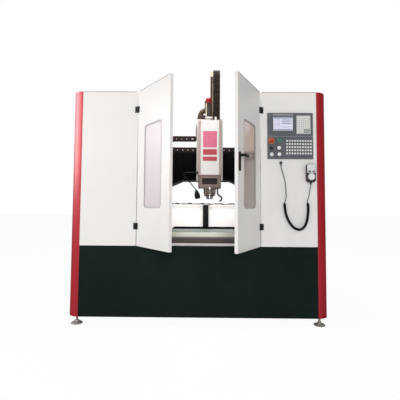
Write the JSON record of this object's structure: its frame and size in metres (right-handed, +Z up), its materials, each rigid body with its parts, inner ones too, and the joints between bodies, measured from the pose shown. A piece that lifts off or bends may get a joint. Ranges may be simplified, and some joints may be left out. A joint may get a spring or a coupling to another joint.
{
  "type": "cnc milling machine",
  "caption": "Enclosed gantry milling machine: moving T-slot table, spindle head on a portal, hinged window doors, operator panel and a hand pendant on a curled cord.",
  "frame": {"origin": "on the floor, under the middle of the machine with its doors standing open", "axes": "+X to the machine's right as its operator sees it, +Y to the back, +Z up"},
  "size_m": [2.22, 2.2329, 2.5296],
  "materials": {
    "acrylic": "clear",
    "bed_paint": "satin",
    "bellows_black": "coated",
    "button_green": "gloss",
    "button_white": "gloss",
    "chain_black": "matte",
    "chain_brown": "matte",
    "collet_steel": "polished",
    "conduit_brown": "matte",
    "cord_black": "matte",
    "dark_paint": "satin",
    "duct_black": "matte",
    "estop_red": "gloss",
    "foot_steel": "zinc",
    "gantry_paint": "satin",
    "gland_black": "matte",
    "hinge_black": "satin",
    "hose_black": "matte",
    "key_grey": "matte",
    "knob_black": "matte",
    "lamp_black": "matte",
    "motor_black": "matte",
    "pendant_shell": "matte",
    "rail_steel": "ground",
    "red_paint": "gloss",
    "screen": "lit",
    "screw_steel": "ground",
    "slate": "fine texture",
    "slide_iron": "satin",
    "spindle_steel": "turned",
    "table_iron": "ground",
    "tan_steel": "satin",
    "tray_steel": "satin",
    "wheel_white": "satin",
    "white_paint": "satin",
    "z_motor_grey": "satin"
  },
  "bodies": {
    "frame": {"levelling_feet": "foot_steel", "bed": "bed_paint", "base_front_panel": "dark_paint", "base_skirt": "dark_paint", "left_column": "red_paint", "right_column": "red_paint", "front_fascia": "white_paint", "left_side_panel": "white_paint", "right_side_panel": "white_paint", "rear_panel": "white_paint", "cable_duct": "duct_black", "chip_tray": "tray_steel", "gantry": "gantry_paint", "linear_rails": "rail_steel", "feed_motors": "motor_black", "x_chain": "chain_brown", "x_bellows_left": "bellows_black", "x_bellows_right": "bellows_black", "y_bellows_front": "bellows_black", "y_bellows_rear": "bellows_black", "control_unit": "slate", "display": "screen", "mdi_keypad": "key_grey", "operator_panel": "slate", "fixed_hinge_leaves": "hinge_black", "cord_gland": "gland_black", "pendant_case": "pendant_shell", "pendant_leads": "cord_black", "pendant_curl": "cord_black"},
    "left_door": {"left_door": "white_paint", "left_window": "acrylic", "left_hinge_leaves": "hinge_black"},
    "right_door": {"right_door": "white_paint", "right_window": "acrylic", "right_door_fittings": "hinge_black"},
    "door_lever": {"door_lever": "hinge_black"},
    "table": {"table": "table_iron"},
    "y_screw": {"y_screw": "screw_steel"},
    "carriage": {"saddle": "white_paint", "z_motor": "z_motor_grey", "z_chain_post": "tan_steel", "cable_conduit": "conduit_brown", "z_chain": "chain_black"},
    "x_screw": {"x_screw": "screw_steel"},
    "head": {"head_slide": "slide_iron", "head_cover": "white_paint", "spindle_motor": "spindle_steel", "work_lamp": "lamp_black", "coolant_hose": "hose_black"},
    "z_screw": {"z_screw": "screw_steel"},
    "spindle": {"spindle_shaft": "collet_steel"},
    "emergency_stop": {"emergency_stop": "estop_red"},
    "start_button": {"start_button": "button_green"},
    "upper_button": {"upper_button": "button_white"},
    "lower_left_button": {"lower_left_button": "button_white"},
    "lower_right_button": {"lower_right_button": "button_white"},
    "key_switch": {"key_switch": "knob_black"},
    "pendant_wheel": {"pendant_wheel": "wheel_white"},
    "axis_selector": {"axis_selector": "knob_black"},
    "step_selector": {"step_selector": "knob_black"}
  },
  "joints": [
    {"name": "left_door_hinge", "type": "hinge", "parent": "frame", "child": "left_door", "pos_m": [-0.535, -0.64162, 1.341], "axis": [0, 0, 1], "range_deg": [-66.5, 53.5]},
    {"name": "right_door_hinge", "type": "hinge", "parent": "frame", "child": "right_door", "pos_m": [0.535, -0.64162, 1.341], "axis": [0, 0, 1], "range_deg": [-63.5, 56.5]},
    {"name": "door_lever_turn", "type": "hinge", "parent": "right_door", "child": "door_lever", "pos_m": [0.30407, -1.08686, 1.388], "axis": [-0.8949, 0.4462, 0], "range_deg": [0, 45], "stiffness_Nm_per_rad": 1.2},
    {"name": "table_slide", "type": "slide", "parent": "frame", "child": "table", "axis": [0, 1, 0], "range_m": [-0.015, 0.475], "deforming": ["y_bellows_front", "y_bellows_rear"]},
    {"name": "y_screw_turn", "type": "hinge", "parent": "frame", "child": "y_screw", "pos_m": [0.075, 0.06638, 0.671], "axis": [0, 1, 0], "range_deg": [-542, 17102]},
    {"name": "carriage_slide", "type": "slide", "parent": "frame", "child": "carriage", "axis": [1, 0, 0], "range_m": [-0.333, 0.267], "deforming": ["x_bellows_left", "x_bellows_right", "x_chain"]},
    {"name": "x_screw_turn", "type": "hinge", "parent": "frame", "child": "x_screw", "pos_m": [0.075, 0.28438, 1.465], "axis": [1, 0, 0], "range_deg": [-11990, 9614]},
    {"name": "head_slide", "type": "slide", "parent": "carriage", "child": "head", "axis": [0, 0, 1], "range_m": [-0.28, 0.02], "deforming": ["z_chain"]},
    {"name": "z_screw_turn", "type": "hinge", "parent": "carriage", "child": "z_screw", "pos_m": [0.094, 0.21438, 1.6], "axis": [0, 0, 1], "range_deg": [-10082, 722]},
    {"name": "spindle_turn", "type": "hinge", "parent": "head", "child": "spindle", "pos_m": [0.108, 0.11738, 1.122], "axis": [0, 0, 1], "continuous": true},
    {"name": "emergency_stop_press", "type": "slide", "parent": "frame", "child": "emergency_stop", "axis": [0, 1, 0], "range_m": [0, 0.005]},
    {"name": "start_button_press", "type": "slide", "parent": "frame", "child": "start_button", "axis": [0, 1, 0], "range_m": [0, 0.005], "stiffness_N_per_m": 300},
    {"name": "upper_button_press", "type": "slide", "parent": "frame", "child": "upper_button", "axis": [0, 1, 0], "range_m": [0, 0.005], "stiffness_N_per_m": 300},
    {"name": "lower_left_button_press", "type": "slide", "parent": "frame", "child": "lower_left_button", "axis": [0, 1, 0], "range_m": [0, 0.005], "stiffness_N_per_m": 300},
    {"name": "lower_right_button_press", "type": "slide", "parent": "frame", "child": "lower_right_button", "axis": [0, 1, 0], "range_m": [0, 0.005], "stiffness_N_per_m": 300},
    {"name": "key_switch_turn", "type": "hinge", "parent": "frame", "child": "key_switch", "pos_m": [0.623, -0.63362, 1.5155], "axis": [0, 1, 0], "range_deg": [0, 90]},
    {"name": "pendant_wheel_turn", "type": "hinge", "parent": "frame", "child": "pendant_wheel", "pos_m": [0.956, -0.67362, 1.268], "axis": [0, 1, 0], "continuous": true},
    {"name": "axis_selector_turn", "type": "hinge", "parent": "frame", "child": "axis_selector", "pos_m": [0.939, -0.67362, 1.312], "axis": [0, 1, 0], "range_deg": [-60, 60]},
    {"name": "step_selector_turn", "type": "hinge", "parent": "frame", "child": "step_selector", "pos_m": [0.973, -0.67362, 1.312], "axis": [0, 1, 0], "range_deg": [-60, 60]}
  ],
  "couplings": [
    {"joint": "y_screw_turn", "follows": "table_slide", "rad_per_m": 628.32},
    {"joint": "x_screw_turn", "follows": "carriage_slide", "rad_per_m": 628.32},
    {"joint": "z_screw_turn", "follows": "head_slide", "rad_per_m": 628.32}
  ]
}
